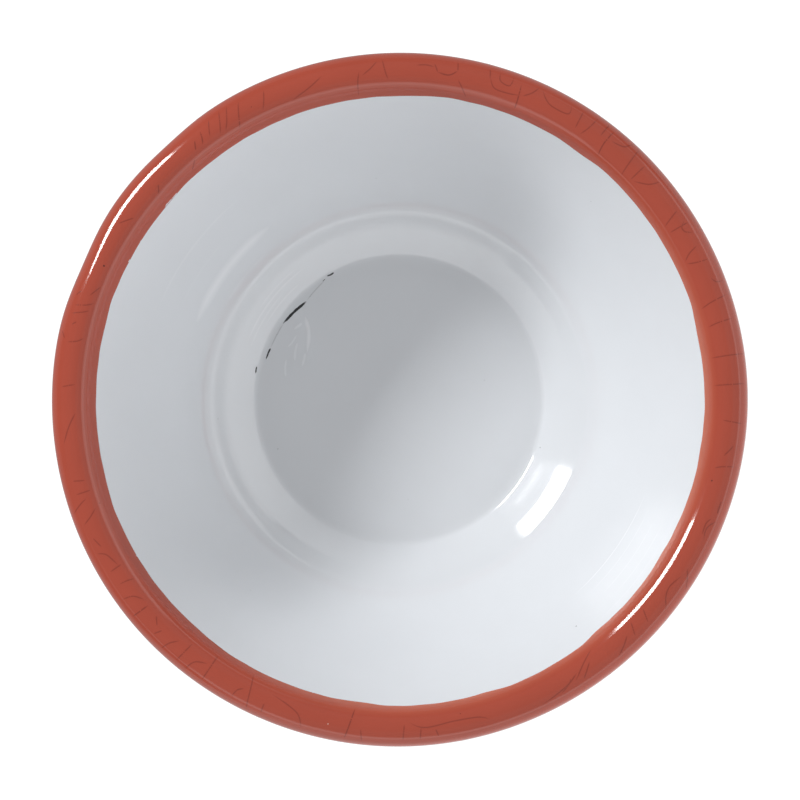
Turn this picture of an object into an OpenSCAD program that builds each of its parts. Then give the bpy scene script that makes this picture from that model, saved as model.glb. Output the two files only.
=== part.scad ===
// Enamelled sheet-steel basin bowl with a pressed base and a hollow rolled rim.
// The bowl stands on z = 0 and turns about the Z axis.

/* [Bowl] */
// Overall diameter over the rolled rim
rim_d = 200; // [180:1:240]
// Height from the inside floor to the top of the rim
inside_depth = 60; // [50:0.5:72]
// Diameter of the flat inside floor
floor_d = 83; // [70:0.2:94]
// Slant of the wall where it meets the rim, in degrees from level
wall_angle = 64.5; // [55:0.5:74]

/* [Shoulder] */
// Radius of the hollow corner between the floor and the shoulder
corner_r = 5; // [2:0.1:8]
// Slant of the shoulder, the straight foot of the wall, in degrees from level
shoulder_angle = 34; // [26:1:40]
// Length of the shoulder, up its slant
shoulder_l = 13.8; // [4:0.1:16]

/* [Rolled rim] */
// Radius of the roll, over its enamel
roll_r = 5.8; // [4.5:0.1:8]
// Length of the coloured band on the straight top of the wall, below the roll
band_l = 3.4; // [1:0.1:8]
// Gap left between the cut edge of the sheet and the outside of the wall
curl_gap = 1; // [0.5:0.1:3]

/* [Sheet and coats] */
// Thickness of the steel sheet
sheet_t = 0.8; // [0.5:0.05:1.2]
// Thickness of the dark ground coat on each side of the sheet
ground_t = 0.12; // [0.08:0.01:0.2]
// Thickness of the white cover coat on each side
white_t = 0.2; // [0.1:0.01:0.3]
// Thickness of the coloured coat over the white one on the rim
rim_coat_t = 0.2; // [0.1:0.01:0.4]

/* [Hidden] */
$fn = 180;

// Turn between two stations on a round stretch, in degrees
arc_step = 5;
// Stations along the curved wall
wall_steps = 16;
// Pull of the wall's two end directions on its curve, as shares of the straight line between its ends
wall_foot_share = 0.119;
wall_top_share = 0.692;

// Depths of the layers below the inside face of the white coat
steel_top = white_t + ground_t;
steel_bottom = steel_top + sheet_t;
ground_bottom = steel_bottom + ground_t;
wall_t = ground_bottom + white_t;

// A tilt is the slant of the face from level: 0 is level and facing up, -90 faces outwards, -180 faces down.
function facing(tilt) = [-sin(tilt), cos(tilt)];
function heading(tilt) = [cos(tilt), sin(tilt)];

// A station of the section is a point on the inside face and the direction that the face looks in.
function station(point, tilt) = [point, facing(tilt)];

// Stations along an arc about its centre. A negative radius makes a hollow corner.
function arc(centre, r, from, to) =
    let (n = ceil(abs(to - from) / arc_step))
    [for (i = [0:n]) let (tilt = from + (to - from) * i / n) station(centre + r * facing(tilt), tilt)];

// Point and slant at a share u of the way along a curve with four control points
function curve_point(p, u) =
    pow(1 - u, 3) * p[0] + 3 * pow(1 - u, 2) * u * p[1] + 3 * (1 - u) * pow(u, 2) * p[2] + pow(u, 3) * p[3];
function curve_heading(p, u) =
    pow(1 - u, 2) * (p[1] - p[0]) + 2 * (1 - u) * u * (p[2] - p[1]) + pow(u, 2) * (p[3] - p[2]);
function curve_tilt(p, u) = let (v = curve_heading(p, u)) atan2(v[1], v[0]);

function last(list) = list[len(list) - 1];
function rest(list) = [for (i = [1:1:len(list) - 1]) list[i]];
function reversed(list) = [for (i = [len(list) - 1:-1:0]) list[i]];

// Floor and shoulder, with a hollow corner between them
floor_z = wall_t;
floor_r = floor_d / 2;
corner = arc([floor_r, floor_z + corner_r], -corner_r, 0, shoulder_angle);
wall_foot = last(corner)[0] + shoulder_l * heading(shoulder_angle);

// Roll: one arc at the face of the white coat, from the top of the wall over the crown and round underneath.
// It stops where the cut edge of the sheet stands off the outside of the wall by the curl gap.
white_roll_r = roll_r - rim_coat_t;
roll_centre = [rim_d / 2 - roll_r, floor_z + inside_depth - roll_r];
curl_left = acos(min(1, (white_roll_r - wall_t - curl_gap) / roll_r));
curl_end = wall_angle + curl_left - 360;
roll = arc(roll_centre, white_roll_r, wall_angle, curl_end);
roll_start = roll[0][0];

// Wall: a curve from the top of the shoulder to the lower edge of the coloured band
band_edge = roll_start - band_l * heading(wall_angle);
wall_chord = norm(band_edge - wall_foot);
wall_points = [
    wall_foot,
    wall_foot + wall_foot_share * wall_chord * heading(shoulder_angle),
    band_edge - wall_top_share * wall_chord * heading(wall_angle),
    band_edge
];
wall = [
    for (i = [1:wall_steps])
        let (u = i / wall_steps)
        station(curve_point(wall_points, u), curve_tilt(wall_points, u))
];

// The whole section, from the axis to the cut edge of the sheet
dish = concat([station([0, floor_z], 0)], corner, [station(wall_foot, shoulder_angle)], wall);
rim = concat([last(wall)], roll);
section = concat(dish, rest(rim));
under_rim = concat(dish, [roll[0]]);

function line_at(stations, depth) = [for (s = stations) s[0] - depth * s[1]];

// One layer of the bowl, between two depths below the inside face of the white coat
module layer(stations, top, bottom) {
    rotate_extrude()
        polygon(concat(line_at(stations, top), reversed(line_at(stations, bottom))));
}

// Pressed and spun sheet with its hollow roll
module steel_shell() {
    color("#8c9095") layer(section, steel_top, steel_bottom);
}

// Dark base enamel on the inside and round the roll
module ground_coat_inside() {
    color("#1d1f23") layer(section, white_t, steel_top);
}

// Dark base enamel on the outside and inside the roll
module ground_coat_outside() {
    color("#26282c") layer(section, steel_bottom, ground_bottom);
}

// White cover coat of the inside, which runs on under the coloured rim
module white_enamel_inside() {
    color("#eef0f2") layer(section, 0, white_t);
}

// White cover coat of the base and the outer wall, up into the roll
module white_enamel_outside() {
    color("#e6e8ea") layer(under_rim, ground_bottom, wall_t);
}

// Coloured coat over the band and the roll, closed round the cut edge of the sheet
module rim_enamel() {
    cut_edge = last(rim);
    lap = rim_coat_t * heading(curl_end);
    closed_edge = [
        cut_edge[0] + rim_coat_t * cut_edge[1] + lap,
        cut_edge[0] - ground_bottom * cut_edge[1] + lap,
        cut_edge[0] - ground_bottom * cut_edge[1]
    ];
    color("#ad4f3b")
        rotate_extrude()
            polygon(concat(line_at(rim, -rim_coat_t), closed_edge, reversed(line_at(rim, 0))));
}

steel_shell();
ground_coat_inside();
ground_coat_outside();
white_enamel_inside();
white_enamel_outside();
rim_enamel();
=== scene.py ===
import bpy
import math
import random
import numpy as np
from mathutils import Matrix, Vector


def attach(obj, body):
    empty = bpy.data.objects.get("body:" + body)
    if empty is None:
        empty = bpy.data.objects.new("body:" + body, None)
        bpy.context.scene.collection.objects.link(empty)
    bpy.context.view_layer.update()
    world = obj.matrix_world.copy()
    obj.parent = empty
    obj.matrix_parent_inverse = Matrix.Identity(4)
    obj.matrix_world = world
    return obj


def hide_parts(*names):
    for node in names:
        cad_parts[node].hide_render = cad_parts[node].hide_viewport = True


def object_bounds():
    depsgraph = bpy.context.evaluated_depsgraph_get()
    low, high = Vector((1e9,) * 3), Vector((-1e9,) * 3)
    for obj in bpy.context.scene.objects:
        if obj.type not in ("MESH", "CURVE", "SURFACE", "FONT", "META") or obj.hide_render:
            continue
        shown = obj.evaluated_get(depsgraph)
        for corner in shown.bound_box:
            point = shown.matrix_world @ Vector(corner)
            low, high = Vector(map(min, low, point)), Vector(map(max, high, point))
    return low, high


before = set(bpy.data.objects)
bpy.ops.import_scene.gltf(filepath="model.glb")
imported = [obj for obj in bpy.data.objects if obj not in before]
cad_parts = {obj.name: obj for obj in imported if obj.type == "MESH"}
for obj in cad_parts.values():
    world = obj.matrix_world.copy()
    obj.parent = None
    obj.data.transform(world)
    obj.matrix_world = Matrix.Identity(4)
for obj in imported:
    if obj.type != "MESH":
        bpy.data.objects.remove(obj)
cadLow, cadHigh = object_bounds()
print("frame loaded,", len(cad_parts), "nodes")


# Camera: straight above the bowl on a long lens, as the bowl was photographed
cameraSet = {
    "lens": 181.9,  # millimetres
    "sensor": 36.0,
    "height": 1.21964,  # metres above what the bowl stands on
    "asideX": 0.0002,  # the bowl sits a hair left of the middle of the picture
    "asideY": -0.00006,
}

bpy.ops.object.select_all(action="DESELECT")
bpy.ops.object.camera_add(
    location=(cameraSet["asideX"], cameraSet["asideY"], cameraSet["height"]),
    rotation=(0, 0, 0),
)
camera = bpy.context.object
camera.name = "topCamera"
camera.data.sensor_width = cameraSet["sensor"]
camera.data.lens = cameraSet["lens"]
camera.data.dof.use_dof = False
bpy.context.scene.camera = camera
print("camera placed")


# Sizes of the pressing in metres and degrees, on the inside face of the white coat
bowl = {
    "rimRadius": cadHigh.x,
    "height": cadHigh.z,
    "floorRadius": 0.0401,  # where the floor starts to lift
    "liftRadius": 0.022,  # the slow curve before the corner
    "liftAngle": 6,
    "cornerRadius": 0.0034,
    "ringAngle": 34,  # the steeper ring round the floor
    "shoulderAngle": 31,
    "footAngle": 37,  # where the shoulder goes over into the wall
    "ringFlattens": (0.0507, 0.0532),  # radii over which the ring goes over into the shoulder
    "shoulderSteepens": (0.0549, 0.0572),
    "wallAngle": 64.5,
    "wallFootPull": 0.119,
    "wallTopPull": 0.692,
    "rollRadius": 0.0058,
    "rollFlats": ((32.7, 9, 0.00009), (-25.9, 9, 0.00009)),  # tilt and spread in degrees, depth in metres
    "bandLength": 0.0031,
    "curlGap": 0.001,
}

# Thickness of each layer in metres
coats = {"white": 0.0002, "ground": 0.00012, "steel": 0.0008, "rim": 0.0002}

# Stations on each stretch of the section, and steps round the bowl
mesh = {
    "floorShares": (0, 0.12, 0.3, 0.5, 0.7, 0.85, 0.95, 1),
    "liftSteps": 8,
    "cornerSteps": 10,
    "shoulderSteps": 60,
    "wallSteps": 60,
    "bandSteps": 9,
    "rollStep": 3,  # degrees
    "turnSteps": 256,
    "rimTurnSteps": 432,
    "hiddenTurnSteps": 96,
    "hiddenEvery": 3,  # hidden faces keep one station in three
    "weld": 1e-6,
    "smoothAngle": 50,
}

steelTop = coats["white"] + coats["ground"]
steelBottom = steelTop + coats["steel"]
groundBottom = steelBottom + coats["ground"]
wallThickness = groundBottom + coats["white"]


def smoothStep(values, start, end):
    share = np.clip((values - start) / (end - start), 0, 1)
    return share * share * (3 - 2 * share)


# A tilt is the slant of the face from level, in degrees: 0 looks up, -90 looks outwards
def facing(tilt):
    angle = math.radians(tilt)
    return Vector((-math.sin(angle), math.cos(angle)))


def heading(tilt):
    angle = math.radians(tilt)
    return Vector((math.cos(angle), math.sin(angle)))


# A station is a point of the section, as radius and height, and its tilt
def hollowArc(start, radius, fromTilt, toTilt, count):
    centre = start + radius * facing(fromTilt)
    tilts = [fromTilt + (toTilt - fromTilt) * i / count for i in range(1, count + 1)]
    return [(centre - radius * facing(tilt), tilt) for tilt in tilts]


def straightStations(start, end, tilt, count):
    return [(start.lerp(end, i / count), tilt) for i in range(1, count + 1)]


def curveStations(points, count):
    stations = []
    for i in range(1, count + 1):
        u = i / count
        v = 1 - u
        point = v**3 * points[0] + 3 * v * v * u * points[1] + 3 * v * u * u * points[2] + u**3 * points[3]
        first, second, third = points[1] - points[0], points[2] - points[1], points[3] - points[2]
        along = v * v * first + 2 * v * u * second + u * u * third
        stations.append((point, math.degrees(math.atan2(along.y, along.x))))
    return stations


# Slant from the steep ring over the shoulder to the foot of the wall
def shoulderTilt(radius):
    flattened = (bowl["ringAngle"] - bowl["shoulderAngle"]) * smoothStep(radius, *bowl["ringFlattens"])
    steepened = (bowl["footAngle"] - bowl["shoulderAngle"]) * smoothStep(radius, *bowl["shoulderSteepens"])
    return bowl["ringAngle"] - flattened + steepened


def shoulderLine(start, count):
    stations = []
    point = start
    step = (bowl["shoulderSteepens"][1] - start.x) / count
    for i in range(count):
        slope = math.tan(math.radians(shoulderTilt(point.x + step / 2)))
        point = point + Vector((step, step * slope))
        stations.append((point, shoulderTilt(point.x)))
    return stations


# The roll is a little flat on both shoulders
def rollRadiusAt(tilt):
    flat = 0
    for middle, spread, depth in bowl["rollFlats"]:
        flat += depth * math.exp(-0.5 * ((tilt - middle) / spread) ** 2)
    return bowl["rollRadius"] - coats["rim"] - flat


# Floor, hollow corner and shoulder
floorHeight = wallThickness
floorStations = [(Vector((share * bowl["floorRadius"], floorHeight)), 0) for share in mesh["floorShares"]]
liftStations = hollowArc(floorStations[-1][0], bowl["liftRadius"], 0, bowl["liftAngle"], mesh["liftSteps"])
cornerStations = hollowArc(
    liftStations[-1][0], bowl["cornerRadius"], bowl["liftAngle"], bowl["ringAngle"], mesh["cornerSteps"]
)
shoulderStations = shoulderLine(cornerStations[-1][0], mesh["shoulderSteps"])
wallFoot = shoulderStations[-1][0]
footStations = floorStations + liftStations + cornerStations + shoulderStations

# Roll at the face of the white coat, up to the cut edge of the sheet
rollCentre = Vector((bowl["rimRadius"] - bowl["rollRadius"], bowl["height"] - bowl["rollRadius"]))
curlRoom = bowl["rollRadius"] - coats["rim"] - wallThickness - bowl["curlGap"]
curlEnd = bowl["wallAngle"] + math.degrees(math.acos(curlRoom / bowl["rollRadius"])) - 360
rollCount = math.ceil((bowl["wallAngle"] - curlEnd) / mesh["rollStep"])
rollTurn = curlEnd - bowl["wallAngle"]
rollTilts = [bowl["wallAngle"] + rollTurn * i / rollCount for i in range(rollCount + 1)]
rollStations = [(rollCentre + rollRadiusAt(tilt) * facing(tilt), tilt) for tilt in rollTilts]
rollStart = rollStations[0][0]

# Wall, from the shoulder to the painted band, and the band's straight stretch
bandEdge = rollStart - bowl["bandLength"] * heading(bowl["wallAngle"])
wallChord = (bandEdge - wallFoot).length
wallPoints = [
    wallFoot,
    wallFoot + bowl["wallFootPull"] * wallChord * heading(bowl["footAngle"]),
    bandEdge - bowl["wallTopPull"] * wallChord * heading(bowl["wallAngle"]),
    bandEdge,
]
wallStations = curveStations(wallPoints, mesh["wallSteps"])
bandStations = straightStations(bandEdge, rollStart, bowl["wallAngle"], mesh["bandSteps"])

dishStations = footStations + wallStations
underRimStations = dishStations + bandStations
wholeStations = underRimStations + rollStations[1:]
rimStations = [wallStations[-1]] + bandStations + rollStations[1:]


def lineAt(stations, depth):
    return [point - depth * facing(tilt) for point, tilt in stations]


def thinned(stations, every):
    kept = stations[::every]
    return kept if kept[-1] is stations[-1] else kept + [stations[-1]]


# A section is drawn vertex by vertex from a collapsed plane, then spun about the bowl's axis
def drawSection(name, line):
    bpy.ops.object.select_all(action="DESELECT")
    bpy.ops.mesh.primitive_plane_add(size=bowl["height"], location=(0, 0, 0))
    piece = bpy.context.object
    piece.name = name
    piece.data.name = name
    bpy.ops.object.mode_set(mode="EDIT")
    bpy.ops.mesh.select_mode(type="VERT")
    bpy.ops.mesh.select_all(action="SELECT")
    bpy.ops.mesh.merge(type="CENTER")
    bpy.ops.transform.translate(value=(line[0].x, 0, line[0].y))
    for here, there in zip(line, line[1:]):
        step = there - here
        bpy.ops.mesh.extrude_region_move(TRANSFORM_OT_translate={"value": (step.x, 0, step.y)})
    return piece


def spinSection(piece, steps):
    bpy.ops.mesh.select_all(action="SELECT")
    bpy.ops.mesh.spin(steps=steps, angle=2 * math.pi, center=(0, 0, 0), axis=(0, 0, 1))
    bpy.ops.mesh.select_all(action="SELECT")
    bpy.ops.mesh.remove_doubles(threshold=mesh["weld"])
    bpy.ops.mesh.normals_make_consistent(inside=False)
    bpy.ops.object.mode_set(mode="OBJECT")
    return piece


def spunLayer(name, top, bottom, steps):
    piece = drawSection(name, top + bottom[::-1])
    return spinSection(piece, steps)


def readPoints(piece):
    points = np.empty(len(piece.data.vertices) * 3)
    piece.data.vertices.foreach_get("co", points)
    return points.reshape(-1, 3)


def writePoints(piece, points):
    piece.data.vertices.foreach_set("co", points.ravel())
    piece.data.update()


def turnBetween(azimuth, middle):
    return (azimuth - middle + 180) % 360 - 180


# The spun bowl isn't quite round: flats, bulges and two knocks on the outside of the roll
outOfRound = {
    "dents": (  # azimuth and spread in degrees, depth inwards in metres, radius where it starts and is full
        (306, 22, 0.00058, 0.0416, 0.088),
        (306, 20, -0.0002, 0.092, 0.1),
        (20, 32, -0.0003, 0.092, 0.1),
        (216, 18, -0.00032, 0.0416, 0.088),
        (358, 10, -0.00017, 0.0416, 0.088),
        (32, 12, 0.00014, 0.0416, 0.088),
        (110, 18, 0.00014, 0.0416, 0.088),
        (141, 10, 0.00035, 0.0416, 0.088),
        (132, 4.5, 0.00046, 0.094, 0.1),
        (157, 5, 0.00080, 0.094, 0.1),
    ),
}


def pullOutOfRound(piece):
    points = readPoints(piece)
    radius = np.hypot(points[:, 0], points[:, 1])
    azimuth = np.degrees(np.arctan2(points[:, 1], points[:, 0]))
    moved = np.zeros_like(radius)
    for middle, spread, depth, start, full in outOfRound["dents"]:
        fall = np.exp(-0.5 * (turnBetween(azimuth, middle) / spread) ** 2)
        moved -= depth * fall * smoothStep(radius, start, full)
    scale = 1 + moved / np.maximum(radius, bowl["floorRadius"])
    points[:, 0] *= scale
    points[:, 1] *= scale
    writePoints(piece, points)


def finishPiece(piece, node, material):
    bpy.ops.object.select_all(action="DESELECT")
    piece.select_set(True)
    bpy.context.view_layer.objects.active = piece
    bpy.ops.object.shade_smooth_by_angle(angle=math.radians(mesh["smoothAngle"]))
    piece.data.materials.clear()
    piece.data.materials.append(material)
    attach(piece, "root")
    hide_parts(node)
    print("made", piece.name, len(piece.data.polygons), "faces")


# A surface that marks lie on: its section by the distance run along it
def surfaceOf(line, tilts):
    radius = np.array([point.x for point in line])
    height = np.array([point.y for point in line])
    run = np.concatenate([[0], np.cumsum(np.hypot(np.diff(radius), np.diff(height)))])
    return {"run": run, "radius": radius, "height": height, "tilt": np.array(tilts)}


# Distance run at a radius, on the stretch that is seen from above
def runAt(surface, radius):
    seen = int(np.argmax(surface["radius"])) + 1
    return float(np.interp(radius, surface["radius"][:seen], surface["run"][:seen]))


# A smooth line through a few places, each an azimuth and a run
def smoothLine(places, shares):
    places = np.array(places, float)
    spans = len(places) - 1
    index = np.minimum((shares * spans).astype(int), spans - 1)
    f = (shares * spans - index)[:, None]
    before, here = places[np.maximum(index - 1, 0)], places[index]
    there, after = places[index + 1], places[np.minimum(index + 2, spans)]
    bend = 2 * before - 5 * here + 4 * there - after
    return here + 0.5 * f * (there - before + f * (bend + f * (3 * (here - there) + after - before)))


markSet = {
    "step": 0.0006,  # length between two stations of a mark
    "proud": 0.000012,  # height of a mark over the enamel
    "taper": 0.22,  # share of a mark's length over which it fades in or out
    "tip": 0.25,  # share of its width and strength that is left at its tips
    "fewestSteps": 4,
    "seed": 7,
}
markDice = random.Random(markSet["seed"])


# One mark on the enamel: a strip of grid laid along a line, with its tint and strength on its vertices
def layMark(surface, places, width, tint, strength, ragged=0.0):
    ends = np.array(places, float)
    turned = np.radians(np.abs(np.diff(ends[:, 0])).sum())
    across = turned * np.interp(ends[0, 1], surface["run"], surface["radius"])
    length = math.hypot(across, np.abs(np.diff(ends[:, 1])).sum())
    count = max(markSet["fewestSteps"], math.ceil(length / markSet["step"]))
    bpy.ops.object.select_all(action="DESELECT")
    bpy.ops.mesh.primitive_grid_add(x_subdivisions=count, y_subdivisions=2, size=1, location=(0, 0, 0))
    mark = bpy.context.object
    flat = readPoints(mark)
    along, aside = flat[:, 0] + 0.5, flat[:, 1] * 2
    middle = smoothLine(places, along)
    nudge = 1 / (4 * count)
    ahead = smoothLine(places, np.minimum(along + nudge, 1))
    ahead = ahead - smoothLine(places, np.maximum(along - nudge, 0))
    radius = np.interp(middle[:, 1], surface["run"], surface["radius"])
    turning, running = np.radians(ahead[:, 0]) * radius, ahead[:, 1]
    size = np.hypot(turning, running)
    fade = np.clip(np.minimum(along, 1 - along) / markSet["taper"], 0, 1)
    fade = markSet["tip"] + (1 - markSet["tip"]) * fade
    if ragged:
        jags = [1 - ragged * markDice.random() for i in range(3 * (count + 1))]
        lanes = np.rint(along * count).astype(int) * 3 + np.rint(aside + 1).astype(int)
        fade = fade * np.array(jags)[lanes]
    shift = aside * fade * width / 2
    azimuth = np.radians(middle[:, 0]) + shift * running / size / radius
    run = middle[:, 1] - shift * turning / size
    tilt = np.radians(np.interp(run, surface["run"], surface["tilt"]))
    radius = np.interp(run, surface["run"], surface["radius"]) - np.sin(tilt) * markSet["proud"]
    height = np.interp(run, surface["run"], surface["height"]) + np.cos(tilt) * markSet["proud"]
    writePoints(mark, np.stack([radius * np.cos(azimuth), radius * np.sin(azimuth), height], 1))
    shares = strength * fade * (1 if ragged else 1 - np.abs(aside))
    mark.data.attributes.new("markShare", "FLOAT", "POINT").data.foreach_set("value", shares)
    tints = np.tile(np.array(tint + (1,), float), len(shares))
    mark.data.attributes.new("markTint", "FLOAT_COLOR", "POINT").data.foreach_set("color", tints)
    return mark


def joinMarks(piece, marks):
    bpy.ops.object.select_all(action="DESELECT")
    for mark in marks:
        mark.select_set(True)
    piece.select_set(True)
    bpy.context.view_layer.objects.active = piece
    bpy.ops.object.join()
    print("laid", len(marks), "marks on", piece.name)


# Shader helpers
def addNode(tree, kind, settings=None, values=None):
    node = tree.nodes.new(kind)
    for name, value in (settings or {}).items():
        setattr(node, name, value)
    for name, value in (values or {}).items():
        node.inputs[name].default_value = value
    return node


def mathNode(tree, operation, first, second=None, third=None, clamp=False):
    node = addNode(tree, "ShaderNodeMath", {"operation": operation, "use_clamp": clamp})
    for socket, value in zip(node.inputs, (first, second, third)):
        if value is None:
            continue
        if isinstance(value, (int, float)):
            socket.default_value = value
        else:
            tree.links.new(value, socket)
    return node.outputs["Value"]


def mixColor(tree, share, first, second, blend="MIX"):
    node = addNode(tree, "ShaderNodeMix", {"data_type": "RGBA", "blend_type": blend})
    for name, value in (("Factor", share), ("A", first), ("B", second)):
        if isinstance(value, (int, float, tuple)):
            node.inputs[name].default_value = value
        else:
            tree.links.new(value, node.inputs[name])
    return node.outputs["Result"]


def mapRange(tree, value, fromLow, fromHigh, toLow, toHigh):
    node = addNode(
        tree, "ShaderNodeMapRange", {"clamp": True},
        {"From Min": fromLow, "From Max": fromHigh, "To Min": toLow, "To Max": toHigh},
    )
    tree.links.new(value, node.inputs["Value"])
    return node.outputs["Result"]


def newGroup(name, inputs, outputs):
    group = bpy.data.node_groups.new(name, "ShaderNodeTree")
    for socketName, kind in inputs:
        group.interface.new_socket(name=socketName, in_out="INPUT", socket_type=kind)
    for socketName, kind in outputs:
        group.interface.new_socket(name=socketName, in_out="OUTPUT", socket_type=kind)
    return group, addNode(group, "NodeGroupInput").outputs, addNode(group, "NodeGroupOutput").inputs


# Fired glaze: slow changes of tone, pinholes, and the ripple of a poured coat as a height in micrometres
firedGlaze = {
    "cloud": (38.0, 4.0),  # scale and detail of a noise
    "gloss": (55.0, 3.0),
    "peel": (420.0, 2.0),
    "wave": (120.0, 2.0),
    "noiseRoughness": 0.55,
    "glossSpan": (0.35, 0.7),
    "peelHeight": 2.2,
    "waveHeight": 5.0,
    "cellScale": 95.0,
    "holeEdge": (0.014, 0.026),
    "holeDepth": 8.0,
    "holeShare": 0.6,
    "holeColor": (0.05, 0.05, 0.05, 1),
}
glazeGroup, glazeIn, glazeOut = newGroup(
    "bakedGlaze",
    (("Color", "NodeSocketColor"), ("Tone", "NodeSocketFloat"), ("Pinholes", "NodeSocketFloat")),
    (("Color", "NodeSocketColor"), ("Gloss", "NodeSocketFloat"), ("Height", "NodeSocketFloat")),
)
glazePlace = addNode(glazeGroup, "ShaderNodeTexCoord").outputs["Object"]


def glazeNoise(scale, detail):
    values = {"Scale": scale, "Detail": detail, "Roughness": firedGlaze["noiseRoughness"]}
    node = addNode(glazeGroup, "ShaderNodeTexNoise", None, values)
    glazeGroup.links.new(glazePlace, node.inputs["Vector"])
    return node.outputs["Fac"]


cloud = mathNode(glazeGroup, "SUBTRACT", glazeNoise(*firedGlaze["cloud"]), 0.5)
cloud = mathNode(glazeGroup, "MULTIPLY_ADD", cloud, glazeIn["Tone"], 1.0)
toned = addNode(glazeGroup, "ShaderNodeVectorMath", {"operation": "SCALE"})
glazeGroup.links.new(glazeIn["Color"], toned.inputs["Vector"])
glazeGroup.links.new(cloud, toned.inputs["Scale"])
cells = addNode(glazeGroup, "ShaderNodeTexVoronoi", {"feature": "F1"}, {"Scale": firedGlaze["cellScale"]})
glazeGroup.links.new(glazePlace, cells.inputs["Vector"])
chance = addNode(glazeGroup, "ShaderNodeSeparateColor")
glazeGroup.links.new(cells.outputs["Color"], chance.inputs["Color"])
picked = mathNode(glazeGroup, "LESS_THAN", chance.outputs["Red"], glazeIn["Pinholes"])
near = mapRange(glazeGroup, cells.outputs["Distance"], *firedGlaze["holeEdge"], 1, 0)
hole = mathNode(glazeGroup, "MULTIPLY", near, picked)
holeMix = mathNode(glazeGroup, "MULTIPLY", hole, firedGlaze["holeShare"])
holed = mixColor(glazeGroup, holeMix, toned.outputs["Vector"], firedGlaze["holeColor"])
glazeGroup.links.new(holed, glazeOut["Color"])
gloss = mapRange(glazeGroup, glazeNoise(*firedGlaze["gloss"]), *firedGlaze["glossSpan"], 0, 1)
glazeGroup.links.new(gloss, glazeOut["Gloss"])
peel = mathNode(glazeGroup, "MULTIPLY", glazeNoise(*firedGlaze["peel"]), firedGlaze["peelHeight"])
wave = mathNode(glazeGroup, "MULTIPLY_ADD", glazeNoise(*firedGlaze["wave"]), firedGlaze["waveHeight"], peel)
height = mathNode(glazeGroup, "MULTIPLY_ADD", hole, -firedGlaze["holeDepth"], wave)
glazeGroup.links.new(height, glazeOut["Height"])

# Marks laid on a coat, wear and painted highlights alike: their own tint, and a duller face
markGroup, markIn, markOut = newGroup(
    "wearAndGlintMark",
    (("Color", "NodeSocketColor"), ("Roughness", "NodeSocketFloat"), ("Dulling", "NodeSocketFloat")),
    (("Color", "NodeSocketColor"), ("Roughness", "NodeSocketFloat")),
)
markShare = addNode(markGroup, "ShaderNodeAttribute", {"attribute_name": "markShare"}).outputs["Fac"]
markTint = addNode(markGroup, "ShaderNodeAttribute", {"attribute_name": "markTint"}).outputs["Color"]
markGroup.links.new(mixColor(markGroup, markShare, markIn["Color"], markTint), markOut["Color"])
dulled = mathNode(markGroup, "MULTIPLY_ADD", markShare, markIn["Dulling"], markIn["Roughness"], clamp=True)
markGroup.links.new(dulled, markOut["Roughness"])


def newMaterial(name):
    material = bpy.data.materials.new(name)
    material.use_nodes = True
    tree = material.node_tree
    return material, tree, tree.nodes["Principled BSDF"]


micrometre = 1e-6


# A glazed coat: fired glaze, then marks, then its ripple as a bump
def glazedMaterial(name, finish, colorFrom=None, wearFrom=None):
    material, tree, shader = newMaterial(name)
    values = {"Tone": finish["tone"], "Pinholes": finish["pinholes"]}
    glaze = addNode(tree, "ShaderNodeGroup", {"node_tree": glazeGroup}, values)
    if colorFrom:
        tree.links.new(colorFrom(tree), glaze.inputs["Color"])
    else:
        glaze.inputs["Color"].default_value = finish["color"] + (1,)
    marks = addNode(tree, "ShaderNodeGroup", {"node_tree": markGroup}, {"Dulling": finish["dulling"]})
    tree.links.new(glaze.outputs["Color"], marks.inputs["Color"])
    roughness = mapRange(tree, glaze.outputs["Gloss"], 0, 1, *finish["roughness"])
    if wearFrom:
        roughness = mathNode(tree, "ADD", roughness, wearFrom(tree))
    tree.links.new(roughness, marks.inputs["Roughness"])
    tree.links.new(marks.outputs["Color"], shader.inputs["Base Color"])
    tree.links.new(marks.outputs["Roughness"], shader.inputs["Roughness"])
    shader.inputs["IOR"].default_value = finish["ior"]
    ripple = {"Strength": 1.0, "Distance": finish["ripple"] * micrometre}
    bump = addNode(tree, "ShaderNodeBump", None, ripple)
    tree.links.new(glaze.outputs["Height"], bump.inputs["Height"])
    tree.links.new(bump.outputs["Normal"], shader.inputs["Normal"])
    return material


# Pressing and hidden coats
sheetFinish = {
    "color": (0.5, 0.51, 0.53, 1),
    "roughness": (0.28, 0.46),
    "grain": {"Scale": 650.0, "Detail": 3.0},
    "grainSpan": (0.3, 0.7),
}
sheetSteel, steelTree, steelShader = newMaterial("sheetSteel")
steelShader.inputs["Base Color"].default_value = sheetFinish["color"]
steelShader.inputs["Metallic"].default_value = 1
steelGrain = addNode(steelTree, "ShaderNodeTexNoise", None, sheetFinish["grain"])
steelTree.links.new(addNode(steelTree, "ShaderNodeTexCoord").outputs["Object"], steelGrain.inputs["Vector"])
steelDull = mapRange(
    steelTree, steelGrain.outputs["Fac"], *sheetFinish["grainSpan"], *sheetFinish["roughness"]
)
steelTree.links.new(steelDull, steelShader.inputs["Roughness"])

groundFinish = {
    "color": (0.012, 0.013, 0.016),
    "tone": 0.5,
    "pinholes": 0.3,
    "dulling": 0.0,
    "roughness": (0.14, 0.3),
    "ior": 1.52,
    "ripple": 2.0,
}
groundEnamel = glazedMaterial("groundEnamel", groundFinish)

hiddenStations = thinned(wholeStations, mesh["hiddenEvery"])
steelShell = spunLayer(
    "steelShell", lineAt(hiddenStations, steelTop), lineAt(hiddenStations, steelBottom),
    mesh["hiddenTurnSteps"],
)
pullOutOfRound(steelShell)
finishPiece(steelShell, "steel_shell", sheetSteel)

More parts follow.
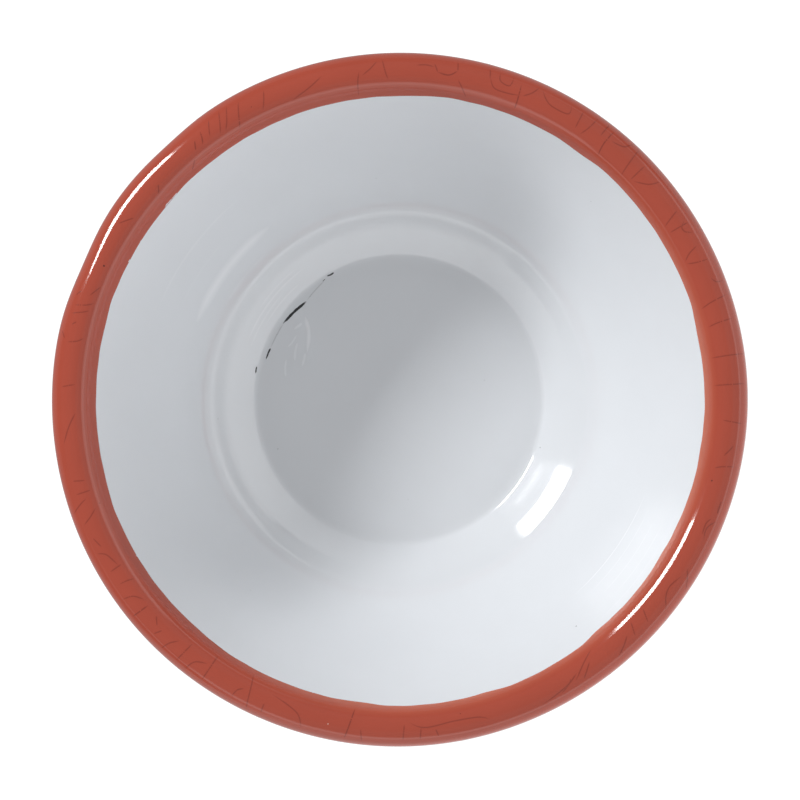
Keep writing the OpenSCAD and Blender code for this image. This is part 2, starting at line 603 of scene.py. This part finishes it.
groundInside = spunLayer(
    "groundCoatInside", lineAt(hiddenStations, coats["white"]), lineAt(hiddenStations, steelTop),
    mesh["hiddenTurnSteps"],
)
pullOutOfRound(groundInside)
finishPiece(groundInside, "ground_coat_inside", groundEnamel)

groundOutside = spunLayer(
    "groundCoatOutside", lineAt(hiddenStations, steelBottom), lineAt(hiddenStations, groundBottom),
    mesh["hiddenTurnSteps"],
)
pullOutOfRound(groundOutside)
finishPiece(groundOutside, "ground_coat_outside", groundEnamel)


# White coats
whiteFinish = {
    "color": (0.772, 0.8, 0.833),
    "tone": 0.05,
    "pinholes": 0.05,
    "dulling": 0.25,
    "roughness": (0.05, 0.085),
    "ior": 1.62,
    "ripple": 1.0,
    "worn": (0.0385, 0.043, 0.18),  # the rubbed floor: radii where it thins out and ends, added roughness
}


# Added roughness on the floor and under the foot, which utensils and shelves have rubbed
def floorWear(tree):
    place = addNode(tree, "ShaderNodeTexCoord").outputs["Object"]
    flattened = addNode(tree, "ShaderNodeVectorMath", {"operation": "MULTIPLY"})
    flattened.inputs[1].default_value = (1, 1, 0)
    tree.links.new(place, flattened.inputs[0])
    radius = addNode(tree, "ShaderNodeVectorMath", {"operation": "LENGTH"})
    tree.links.new(flattened.outputs["Vector"], radius.inputs[0])
    start, end, amount = whiteFinish["worn"]
    return mapRange(tree, radius.outputs["Value"], start, end, amount, 0)


whiteEnamel = glazedMaterial("whiteEnamel", whiteFinish, wearFrom=floorWear)

whiteWear = {
    "chipTint": (0.012, 0.014, 0.018),
    "chipStrength": 1.7,
    "chipRagged": 0.35,
    "chips": (  # along the corner of the floor: width in metres, then places as azimuth and radius
        (0.0009, ((133.4, 0.0408), (136.6, 0.041), (139.8, 0.0413), (143.6, 0.0416), (146.8, 0.0419))),
        (0.0008, ((134.8, 0.0408), (137.4, 0.041), (140.6, 0.0414))),
        (0.0006, ((117.2, 0.0431), (118.6, 0.0430), (120.4, 0.0432))),
        (0.0006, ((158.2, 0.0418), (160, 0.0419), (163.2, 0.0420))),
        (0.0005, ((166.8, 0.0441), (168, 0.0441), (169.6, 0.0440))),
        (0.00022, ((121.5, 0.0427), (123, 0.0425))),
        (0.00022, ((129.5, 0.0413), (131.2, 0.0411))),
        (0.0002, ((150.5, 0.0417), (152.2, 0.0418))),
    ),
    "scuffTint": (0.3, 0.31, 0.33),
    "scuffStrength": 0.4,
    "scuffs": (  # grey rubs beside the chips
        (0.0006, ((122, 0.0424), (127, 0.0417), (133, 0.0409))),
        (0.0006, ((147, 0.0418), (152, 0.0418), (158, 0.0418))),
    ),
    # pale tint for the rubs on the floor and for the painted highlights on the wall
    "rubAndGlintTint": (0.9, 0.92, 0.95),
    "scratches": (  # pale rubs on the floor
        (0.0014, 1.0, ((138.6, 0.0378), (140.3, 0.0362), (143, 0.0342), (147, 0.0326), (152.4, 0.0313))),
        (0.001, 0.5, ((141.8, 0.0374), (143.6, 0.0376), (146.2, 0.0382))),
        (0.001, 0.4, ((150.5, 0.0352), (155, 0.0346), (159.6, 0.0336))),
        (0.0009, 0.3, ((160, 0.0362), (164.5, 0.0357), (168.6, 0.0349))),
        (0.0009, 0.4, ((153.5, 0.0317), (157, 0.0312), (161, 0.031))),
        (0.0008, 0.3, ((147.5, 0.0366), (151.5, 0.0366), (155, 0.0372))),
    ),
    "paintedGlints": (  # painted highlights and reflections of the strip light, pale arcs on the wall within the light's azimuths: start and end azimuth, radius, width and strength
        (126, 159, 0.0488, 0.001, 0.6),
        (131, 150, 0.0461, 0.0008, 0.55),
        (137, 161, 0.0474, 0.0008, 0.45),
        (128, 147, 0.0501, 0.0009, 0.45),
        (317.5, 335.5, 0.0469, 0.0044, 0.14),
        (127, 159, 0.0645, 0.0048, 0.75),
        (129, 159, 0.0757, 0.0016, 0.24),
        (132, 152, 0.0592, 0.001, 0.16),
        (136, 158, 0.0702, 0.001, 0.12),
        (311, 339, 0.0773, 0.0005, 0.95),
        (314, 337, 0.0797, 0.0005, 0.5),
        (316, 334, 0.0822, 0.0005, 0.45),
        (318, 335, 0.0845, 0.0005, 0.4),
        (312, 330, 0.0864, 0.0005, 0.35),
    ),
    "speckTint": (0.06, 0.06, 0.06),
    "speckRagged": 0.3,
    "specks": (  # azimuth, radius, size and strength
        (308, 0.0839, 0.0005, 0.8),
        (202, 0.0395, 0.00035, 0.6),
        (13, 0.0263, 0.0003, 0.5),
        (186, 0.0546, 0.0003, 0.5),
        (46, 0.0805, 0.0003, 0.5),
        (96, 0.0662, 0.00026, 0.35),
        (232, 0.0712, 0.00026, 0.35),
        (275, 0.0301, 0.00024, 0.35),
    ),
}

whiteInside = spunLayer(
    "whiteEnamelInside", lineAt(wholeStations, 0), lineAt(hiddenStations, coats["white"]), mesh["turnSteps"]
)
dish = surfaceOf(lineAt(dishStations, 0), [tilt for point, tilt in dishStations])


def onDish(places):
    return [(azimuth, runAt(dish, radius)) for azimuth, radius in places]


dishMarks = []
for width, places in whiteWear["scuffs"]:
    scuff = layMark(dish, onDish(places), width, whiteWear["scuffTint"], whiteWear["scuffStrength"])
    dishMarks.append(scuff)
for width, strength, places in whiteWear["scratches"]:
    dishMarks.append(layMark(dish, onDish(places), width, whiteWear["rubAndGlintTint"], strength))
# painted highlights: pale arcs laid where the wall catches the strip light
for start, end, radius, width, strength in whiteWear["paintedGlints"]:
    ring = [(start, radius), ((start + end) / 2, radius), (end, radius)]
    dishMarks.append(layMark(dish, onDish(ring), width, whiteWear["rubAndGlintTint"], strength))
for width, places in whiteWear["chips"]:
    tint, strength = whiteWear["chipTint"], whiteWear["chipStrength"]
    dishMarks.append(layMark(dish, onDish(places), width, tint, strength, whiteWear["chipRagged"]))
for azimuth, radius, size, strength in whiteWear["specks"]:
    half = math.degrees(size / 2 / radius)
    spot = [(azimuth - half, radius), (azimuth + half, radius)]
    speck = layMark(dish, onDish(spot), size, whiteWear["speckTint"], strength, whiteWear["speckRagged"])
    dishMarks.append(speck)
joinMarks(whiteInside, dishMarks)
pullOutOfRound(whiteInside)
finishPiece(whiteInside, "white_enamel_inside", whiteEnamel)

hiddenUnderRim = thinned(underRimStations, mesh["hiddenEvery"])
whiteOutside = spunLayer(
    "whiteEnamelOutside", lineAt(hiddenUnderRim, groundBottom), lineAt(underRimStations, wallThickness),
    mesh["turnSteps"],
)
pullOutOfRound(whiteOutside)
finishPiece(whiteOutside, "white_enamel_outside", whiteEnamel)


# Painted rim: feathered at its brushed edge, closed round the cut edge of the sheet
rimFinish = {
    "color": (0.42, 0.069, 0.038),
    "thinAndLitColor": (0.56, 0.15, 0.085),  # paler where the white coat shows through the thinner edge, and stronger on the side facing the strip light as a painted highlight
    "tone": 0.16,
    "pinholes": 0.12,
    "dulling": 0.15,
    "roughness": (0.05, 0.1),
    "ior": 1.52,
    "ripple": 0.25,
}

brushedEdge = {
    "feather": 0.0006,  # length over which the coat thins out
    "thinnest": 0.00004,
    "litThinSide": 325,  # azimuth where the paler edge is strongest: the side facing the strip light, a painted highlight
    # share of the paler edge left on the shaded side
    "shadedThinLeast": 0.15,
    "litThinTurns": (-0.2, 0.7),  # cosines of the turn from there, where the paler edge is least and most
    "thinBelow": 0.001,  # how far below the edge the thinning is noted
    "strokes": (  # azimuths where a stroke starts and ends, and how far it stops short, along the wall
        (15, 52, 0.0013),
        (55, 83, 0.0007),
        (87, 131, -0.00045),
        (138, 160, -0.0004),
        (163, 198, -0.0009),
        (203, 232, -0.0004),
        (235, 262, 0.0003),
        (265, 287, 0.001),
        (288, 309, 0.002),
        (311, 328, 0.0008),
        (330, 349, 0.0004),
    ),
    "softness": 3,  # degrees over which a stroke starts or ends
    "wobble": 0.00009,
    "wobbleTurns": (17, 29, 53, 71),
    "seed": 3,
}

rimTop = []
for point, tilt in rimStations:
    along = min((point - bandEdge).length, bowl["bandLength"])
    share = min(1, along / brushedEdge["feather"])
    thickness = brushedEdge["thinnest"] + (coats["rim"] - brushedEdge["thinnest"]) * math.sqrt(share)
    rimTop.append(point + thickness * facing(tilt))
cutPoint, cutTilt = rimStations[-1]
lap = coats["rim"] * heading(curlEnd)
cutClosed = [
    cutPoint + coats["rim"] * facing(cutTilt) + lap,
    cutPoint - groundBottom * facing(cutTilt) + lap,
    cutPoint - groundBottom * facing(cutTilt),
]
rimUnder = lineAt(thinned(rimStations, mesh["hiddenEvery"]), 0)[::-1]
rimCoat = drawSection("rimEnamel", rimTop + cutClosed + rimUnder + [rimTop[0]])
spinSection(rimCoat, mesh["rimTurnSteps"])
rimFace = surfaceOf(rimTop, [tilt for point, tilt in rimStations])

# Hairline cracks, each by a few places: azimuth, and share of the way from painted edge to outline
crackle = {
    "tint": (0.2, 0.03, 0.018),
    "width": 0.00055,
    "strength": 0.75,
    "deepStrength": 0.95,
    "deep": (
        ((126.6, 0.68), (127, 0.52), (127.6, 0.39)),
        ((219.1, 0.85), (219.3, 0.41)),
        ((340.2, 0.74), (342.5, 0.73)),
        ((260.7, 0.88), (261.3, 0.5), (261.9, 0.14)),
        ((51.3, 0.88), (51.4, 0.5), (50.9, 0.21)),
        ((79.9, 0.65), (81.3, 0.52), (83.3, 0.55)),
        ((68.8, 0.74), (68.5, 0.4), (68.4, 0.16)),
        ((128.3, 0.58), (129.2, 0.39)),
    ),
    "lines": (
        ((2.7, 0.9), (2.6, 0.2)),
        ((7.6, 0.97), (7.7, 0.6), (7.6, 0.2)),
        ((13.8, 0.85), (13.6, 0.5), (13.2, 0.27)),
        ((17.9, 0.87), (17.4, 0.5), (16.7, 0.22)),
        ((20.2, 0.9), (20.4, 0.75), (21.3, 0.66)),
        ((24.5, 0.78), (24.8, 0.5), (25.3, 0.29)),
        ((27.4, 0.68), (26.8, 0.45), (25.8, 0.28)),
        ((29.7, 0.75), (30.4, 0.6), (31.4, 0.58), (32.1, 0.7)),
        ((31.6, 0.77), (31.7, 0.29)),
        ((34.3, 0.7), (33.8, 0.5), (33.1, 0.27)),
        ((39.9, 0.78), (40.8, 0.55), (43, 0.34)),
        ((43.6, 0.75), (43.6, 0.31)),
        ((46.2, 0.93), (45.9, 0.6), (45.3, 0.21)),
        ((47.6, 0.93), (48.4, 0.75), (50.6, 0.66)),
        ((52.6, 0.93), (52.7, 0.6)),
        ((54.7, 0.9), (55.1, 0.6), (55.8, 0.35)),
        ((57.4, 0.83), (57.1, 0.4)),
        ((59.7, 0.83), (59.4, 0.6), (62.5, 0.57), (64.1, 0.67), (65.2, 0.83)),
        ((65.8, 0.83), (66.6, 0.65), (67.9, 0.5)),
        ((68.2, 0.5), (70.5, 0.44), (73.1, 0.46), (74.3, 0.69)),
        ((70.4, 0.85), (70.6, 0.62), (72.4, 0.66), (72.8, 0.85)),
        ((74.6, 0.86), (74.2, 0.64)),
        ((80.1, 0.85), (79.9, 0.65)),
        ((83.3, 0.55), (84, 0.75)),
        ((84, 0.67), (85.5, 0.7), (87, 0.68)),
        ((79.6, 0.45), (78.6, 0.28), (77.5, 0.1)),
        ((92.9, 0.82), (92.5, 0.55), (92, 0.34)),
        ((93.8, 0.78), (95, 0.62), (96.5, 0.48)),
        ((97, 0.58), (97.5, 0.3), (97.6, 0.05)),
        ((103.5, 0.63), (106, 0.45), (109.6, 0.29)),
        ((113.7, 0.75), (114.3, 0.55), (115.2, 0.34)),
        ((118.4, 0.77), (119.4, 0.5), (120.5, 0.2)),
        ((120.5, 0.83), (121.6, 0.55), (122.8, 0.34)),
        ((122, 0.83), (123, 0.55), (124, 0.34)),
        ((124.3, 0.78), (125.7, 0.44)),
        ((130.4, 0.25), (132.2, 0.1)),
        ((138.2, 0.43), (139.4, 0.28)),
        ((145.5, 0.38), (147.9, 0.62)),
        ((161, 0.72), (162, 0.82)),
        ((161.4, 0.48), (159.3, 0.31)),
        ((163.7, 0.77), (163.2, 0.5), (162.5, 0.33)),
        ((165.2, 0.79), (164.6, 0.55), (164, 0.38)),
        ((167, 0.7), (166.4, 0.6)),
        ((168.4, 0.9), (169.6, 0.8)),
        ((170.1, 0.72), (169.7, 0.5), (169, 0.36)),
        ((177.8, 0.74), (177.3, 0.43)),
        ((182.3, 0.41), (184.6, 0.58), (187.6, 0.75)),
        ((194, 0.7), (194.4, 0.41)),
        ((196.4, 0.7), (196.3, 0.34)),
        ((199.4, 0.9), (198.3, 0.7), (197.5, 0.5)),
        ((201.7, 0.75), (200.8, 0.55), (199.6, 0.36)),
        ((204.3, 0.68), (206.3, 0.58)),
        ((207, 0.75), (207.9, 0.56), (210.4, 0.44)),
        ((210.8, 0.68), (210.6, 0.36)),
        ((213.4, 0.65), (213.6, 0.45), (214, 0.29)),
        ((215.8, 0.8), (216.4, 0.55), (218, 0.39)),
        ((221.6, 0.41), (223, 0.56)),
        ((223.6, 0.75), (224.2, 0.55)),
        ((226.2, 0.88), (226.6, 0.65), (227.6, 0.45)),
        ((229.4, 0.84), (229.7, 0.3)),
        ((231.4, 0.88), (232, 0.6), (234, 0.45)),
        ((234.8, 0.84), (234.7, 0.16)),
        ((240.5, 0.79), (240.8, 0.6), (241.7, 0.5)),
        ((243.7, 0.93), (242.9, 0.5), (242, 0.11)),
        ((253.4, 0.88), (252.4, 0.6), (250.4, 0.45), (246.7, 0.33)),
        ((246.1, 0.84), (246, 0.6)),
        ((263.7, 0.88), (263.3, 0.6)),
        ((270.6, 0.82), (270.9, 0.44)),
        ((273.5, 0.82), (273.8, 0.54)),
        ((271.7, 0.4), (274.4, 0.54), (279.5, 0.48), (284, 0.51), (285.8, 0.63)),
        ((276.7, 0.78), (276.3, 0.6)),
        ((295.2, 0.75), (300.4, 0.63), (301.6, 0.54)),
        ((299, 0.72), (303, 0.5)),
        ((302.2, 0.63), (305, 0.4), (307.5, 0.25)),
        ((303.5, 0.7), (306, 0.45)),
        ((310.4, 0.78), (312.6, 0.65), (314, 0.54)),
        ((315, 0.67), (316.2, 0.38)),
        ((318.2, 0.67), (319.4, 0.38)),
        ((321.7, 0.82), (323.5, 0.62), (325.5, 0.55), (328.2, 0.65)),
        ((326.4, 0.91), (329.6, 0.67)),
        ((335.5, 0.67), (337.4, 0.64), (338.9, 0.77)),
        ((336, 0.6), (338, 0.58), (339.2, 0.66)),
        ((348.7, 0.82), (348.3, 0.55), (347.8, 0.38)),
        ((350.2, 0.53), (352.2, 0.72)),
        ((356, 0.85), (356.4, 0.4)),
    ),
    "sideCount": 64,  # cracks on the outer side of the roll, which the photograph doesn't show
    "sideStart": (-0.003, 0.004),  # along the section, from the outline
    "sideLength": (0.003, 0.009),
    "sideSway": (1.5, 2),  # degrees to either side, at the middle and at the end
    "sideSeed": 11,
}

rimWear = {
    "nickAndGlintTint": (0.72, 0.745, 0.78),
    "nickAndGlintRagged": 0.35,
    "nicksAndGlints": (  # white at the painted edge; those near 138° and 152° are painted glints of the coat's edge step: start and end azimuth, width in metres
        (137, 138.6, 0.0009),
        (138.4, 140.6, 0.0011),
        (148.2, 148.7, 0.0005),
        (152.4, 153.1, 0.0008),
        (210.5, 210.9, 0.0006),
        (253.3, 253.7, 0.0006),
    ),
    "spotStrength": 0.9,
    "spotRagged": 0.3,
    "spots": (  # azimuth, share across, size, tint
        (345.5, 0.39, 0.0005, (0.05, 0.012, 0.01)),
        (155.6, 0.43, 0.0006, (0.04, 0.012, 0.01)),
        (257.6, 0.6, 0.0004, (0.75, 0.5, 0.42)),
        (116.8, 0.52, 0.0003, (0.09, 0.016, 0.01)),
        (281, 0.34, 0.0003, (0.09, 0.016, 0.01)),
        (199, 0.24, 0.0003, (0.09, 0.016, 0.01)),
    ),
}


def onRim(places):
    reach = bowl["rimRadius"] - bandEdge.x
    return [(azimuth, runAt(rimFace, bandEdge.x + share * reach)) for azimuth, share in places]


rimMarks = []
for places in crackle["lines"]:
    rimMarks.append(layMark(rimFace, onRim(places), crackle["width"], crackle["tint"], crackle["strength"]))
for places in crackle["deep"]:
    crack = layMark(rimFace, onRim(places), crackle["width"], crackle["tint"], crackle["deepStrength"])
    rimMarks.append(crack)
sideDice = random.Random(crackle["sideSeed"])
outlineRun = runAt(rimFace, bowl["rimRadius"])
for i in range(crackle["sideCount"]):
    azimuth = (i + sideDice.random()) * 360 / crackle["sideCount"]
    start = outlineRun + sideDice.uniform(*crackle["sideStart"])
    end = start + sideDice.uniform(*crackle["sideLength"])
    midSway, endSway = [sideDice.uniform(-sway, sway) for sway in crackle["sideSway"]]
    places = [(azimuth, start), (azimuth + midSway, (start + end) / 2), (azimuth + endSway, end)]
    rimMarks.append(layMark(rimFace, places, crackle["width"], crackle["tint"], crackle["strength"]))
# white strips at the painted edge, partly painted glints of the edge step
for start, end, width in rimWear["nicksAndGlints"]:
    places = [(start, width / 2), (end, width / 2)]
    rimMarks.append(layMark(rimFace, places, width, rimWear["nickAndGlintTint"], 1.0, rimWear["nickAndGlintRagged"]))
for azimuth, share, size, tint in rimWear["spots"]:
    half = math.degrees(size / 2 / rollCentre.x)
    places = onRim([(azimuth - half, share), (azimuth + half, share)])
    spot = layMark(rimFace, places, size, tint, rimWear["spotStrength"], rimWear["spotRagged"])
    rimMarks.append(spot)
joinMarks(rimCoat, rimMarks)


# How far the brush stopped short of the usual edge, all round
def brushedShift(azimuth):
    shift = np.zeros_like(azimuth)
    soft = brushedEdge["softness"]
    for start, end, amount in brushedEdge["strokes"]:
        begun = smoothStep(azimuth, start - soft, start + soft)
        ended = smoothStep(azimuth, end - soft, end + soft)
        shift += amount * begun * (1 - ended)
    edgeDice = random.Random(brushedEdge["seed"])
    for turns in brushedEdge["wobbleTurns"]:
        phase = edgeDice.uniform(0, 2 * math.pi)
        shift += brushedEdge["wobble"] / 2 * np.sin(np.radians(azimuth) * turns + phase)
    return shift


# Slide the painted edge along the wall, and note how thinned the coat is there, weighted towards the side
# facing the strip light as a painted highlight
def brushEdge(piece):
    points = readPoints(piece)
    radius = np.hypot(points[:, 0], points[:, 1])
    azimuth = np.degrees(np.arctan2(points[:, 1], points[:, 0])) % 360
    up = heading(bowl["wallAngle"])
    along = (radius - bandEdge.x) * up.x + (points[:, 2] - bandEdge.y) * up.y
    onBand = (radius < rollStart.x) & (points[:, 2] > rollCentre.y - bowl["rollRadius"] / 2)
    slack = np.clip(1 - along / bowl["bandLength"], 0, 1) * onBand
    slide = brushedShift(azimuth) * slack
    scale = 1 + slide * up.x / radius
    points[:, 0] *= scale
    points[:, 1] *= scale
    points[:, 2] += slide * up.y
    writePoints(piece, points)
    thinAndLit = np.clip(1 - along / (2 * bowl["bandLength"]), 0, 1)
    thinAndLit = thinAndLit * (radius < rollCentre.x) * (along > -brushedEdge["thinBelow"])
    thinAndLit = thinAndLit * (points[:, 2] > rollCentre.y - bowl["rollRadius"] / 2)
    # the paler edge is strongest on the side facing the strip light: painted highlight
    side = np.cos(np.radians(turnBetween(azimuth, brushedEdge["litThinSide"])))
    least = brushedEdge["shadedThinLeast"]
    thinAndLit = thinAndLit * (least + (1 - least) * smoothStep(side, *brushedEdge["litThinTurns"]))
    piece.data.attributes.new("thinCoatAndHighlight", "FLOAT", "POINT").data.foreach_set("value", thinAndLit)


brushEdge(rimCoat)


# red mixed towards the paler edge colour: thinner coat, plus a painted highlight on the lit side
def rimColor(tree):
    thinAndLit = addNode(tree, "ShaderNodeAttribute", {"attribute_name": "thinCoatAndHighlight"}).outputs["Fac"]
    return mixColor(tree, thinAndLit, rimFinish["color"] + (1,), rimFinish["thinAndLitColor"] + (1,))


rimEnamel = glazedMaterial("rimEnamel", rimFinish, rimColor)
pullOutOfRound(rimCoat)
finishPiece(rimCoat, "rim_enamel", rimEnamel)


# Studio: a pale floor, a strip light up left, a wide pale screen low on the right and a soft sky
studio = {
    "keyAzimuth": 145,
    "keyElevation": 30.2,
    "keyDistance": 6.0,
    "keyWidth": 2.17,
    "keyHeight": 0.965,
    "keyRadiance": 35,
    "edgeWidth": 2.46,  # a weaker, larger light behind it softens its edge
    "edgeHeight": 1.16,
    "edgeRadiance": 2.2,
    "zenithRadiance": 0.44,
    "zenithRise": (52, 68),  # elevations over which the sky goes over into the zenith
    "skyRadiance": 0.5,
    "skyLean": 0.12,  # how much brighter the sky is towards its bright side
    "skyAzimuth": 339,
    "screenRadiance": 1.2,
    "beltRadiance": 1.9,
    "topRadiance": 1.5,
    "screenAzimuth": 318,
    "screenFades": (84, 66),  # degrees to either side, where it has ended and where its fading starts
    "beltFades": (130, 70),
    "topFades": (87.5, 84),
    "beltRise": (20.5, 22),  # elevations over which the belt starts
    "topRise": (25.5, 27),
    "screenTop": 30.5,
    "lowRadiance": 0.3,
    "floorSize": 12,
    "floorColor": (0.15, 0.15, 0.15, 1),
    "floorRoughness": 0.9,
    "floorGlow": (0.32, 0.95),  # as the bowl sees it, away from the screen and towards it
    "floorReach": 0.12,
}

keyAngle = math.radians(studio["keyAzimuth"])
keyRise = math.radians(studio["keyElevation"])
keyDirection = Vector(
    (math.cos(keyAngle) * math.cos(keyRise), math.sin(keyAngle) * math.cos(keyRise), math.sin(keyRise))
)
keyTarget = Vector((0, 0, bowl["height"]))


def addStrip(name, width, height, radiance):
    bpy.ops.object.select_all(action="DESELECT")
    bpy.ops.object.light_add(type="AREA", location=keyTarget + keyDirection * studio["keyDistance"])
    strip = bpy.context.object
    strip.name = name
    strip.rotation_euler = keyDirection.to_track_quat("Z", "Y").to_euler()
    strip.data.shape = "RECTANGLE"
    strip.data.size = width
    strip.data.size_y = height
    strip.data.energy = radiance * math.pi * width * height
    strip.visible_camera = False


addStrip("keyLight", studio["keyWidth"], studio["keyHeight"], studio["keyRadiance"])
addStrip("keyEdge", studio["edgeWidth"], studio["edgeHeight"], studio["edgeRadiance"])

world = bpy.data.worlds.new("studio")
bpy.context.scene.world = world
world.use_nodes = True
sky = world.node_tree
background = sky.nodes["Background"]
direction = addNode(sky, "ShaderNodeSeparateXYZ")
sky.links.new(addNode(sky, "ShaderNodeTexCoord").outputs["Generated"], direction.inputs["Vector"])
flat = mathNode(sky, "SUBTRACT", 1.0, mathNode(sky, "POWER", direction.outputs["Z"], 2))
flat = mathNode(sky, "SQRT", flat)


# Cosine of the turn between a direction of the sky and an azimuth
def towards(azimuth):
    angle = math.radians(azimuth)
    aside = mathNode(sky, "MULTIPLY", direction.outputs["X"], math.cos(angle))
    aside = mathNode(sky, "MULTIPLY_ADD", direction.outputs["Y"], math.sin(angle), aside)
    return mathNode(sky, "DIVIDE", aside, flat)


# Low surroundings: a screen, a pale belt over it that reaches further round, and the belt's upper edge
def tier(fades, radiance):
    edges = [math.cos(math.radians(degrees)) for degrees in fades]
    return mapRange(sky, towards(studio["screenAzimuth"]), *edges, studio["lowRadiance"], radiance)


# One tier passes over into the next between two elevations
def stack(under, over, rise):
    edges = [math.sin(math.radians(degrees)) for degrees in rise]
    share = mapRange(sky, direction.outputs["Z"], *edges, 0, 1)
    return mathNode(sky, "MULTIPLY_ADD", share, mathNode(sky, "SUBTRACT", over, under), under)


low = tier(studio["screenFades"], studio["screenRadiance"])
low = stack(low, tier(studio["beltFades"], studio["beltRadiance"]), studio["beltRise"])
low = stack(low, tier(studio["topFades"], studio["topRadiance"]), studio["topRise"])
bright = towards(studio["skyAzimuth"])
middle = mathNode(sky, "MULTIPLY_ADD", bright, studio["skyLean"], studio["skyRadiance"])
middle = mathNode(sky, "MAXIMUM", middle, 0.0)
middle = stack(middle, studio["zenithRadiance"], studio["zenithRise"])
above = mathNode(sky, "GREATER_THAN", direction.outputs["Z"], math.sin(math.radians(studio["screenTop"])))
radiance = mathNode(sky, "MULTIPLY_ADD", above, mathNode(sky, "SUBTRACT", middle, low), low)
seen = addNode(sky, "ShaderNodeLightPath").outputs["Is Camera Ray"]
sky.links.new(mathNode(sky, "MAXIMUM", radiance, seen), background.inputs["Strength"])
background.inputs["Color"].default_value = (1, 1, 1, 1)

paleFloor, floorTree, floorShader = newMaterial("paleFloor")
floorShader.inputs["Base Color"].default_value = studio["floorColor"]
floorShader.inputs["Roughness"].default_value = studio["floorRoughness"]
floorShader.inputs["Specular IOR Level"].default_value = 0
floorShader.inputs["Emission Color"].default_value = (1, 1, 1, 1)
floorSeen = addNode(floorTree, "ShaderNodeLightPath").outputs["Is Camera Ray"]
floorPlace = addNode(floorTree, "ShaderNodeSeparateXYZ")
floorTree.links.new(addNode(floorTree, "ShaderNodeTexCoord").outputs["Object"], floorPlace.inputs["Vector"])
screenAngle = math.radians(studio["screenAzimuth"])
reach = mathNode(floorTree, "MULTIPLY", floorPlace.outputs["X"], math.cos(screenAngle))
reach = mathNode(floorTree, "MULTIPLY_ADD", floorPlace.outputs["Y"], math.sin(screenAngle), reach)
glow = mapRange(floorTree, reach, -studio["floorReach"], studio["floorReach"], *studio["floorGlow"])
glow = mathNode(floorTree, "MAXIMUM", floorSeen, glow)  # the camera sees the floor white
floorTree.links.new(glow, floorShader.inputs["Emission Strength"])
bpy.ops.object.select_all(action="DESELECT")
bpy.ops.mesh.primitive_plane_add(size=studio["floorSize"], location=(0, 0, 0))
floor = bpy.context.object
floor.name = "paleFloor"
floor.data.materials.append(paleFloor)
bpy.context.scene.view_settings.view_transform = "Standard"
print("studio lit")
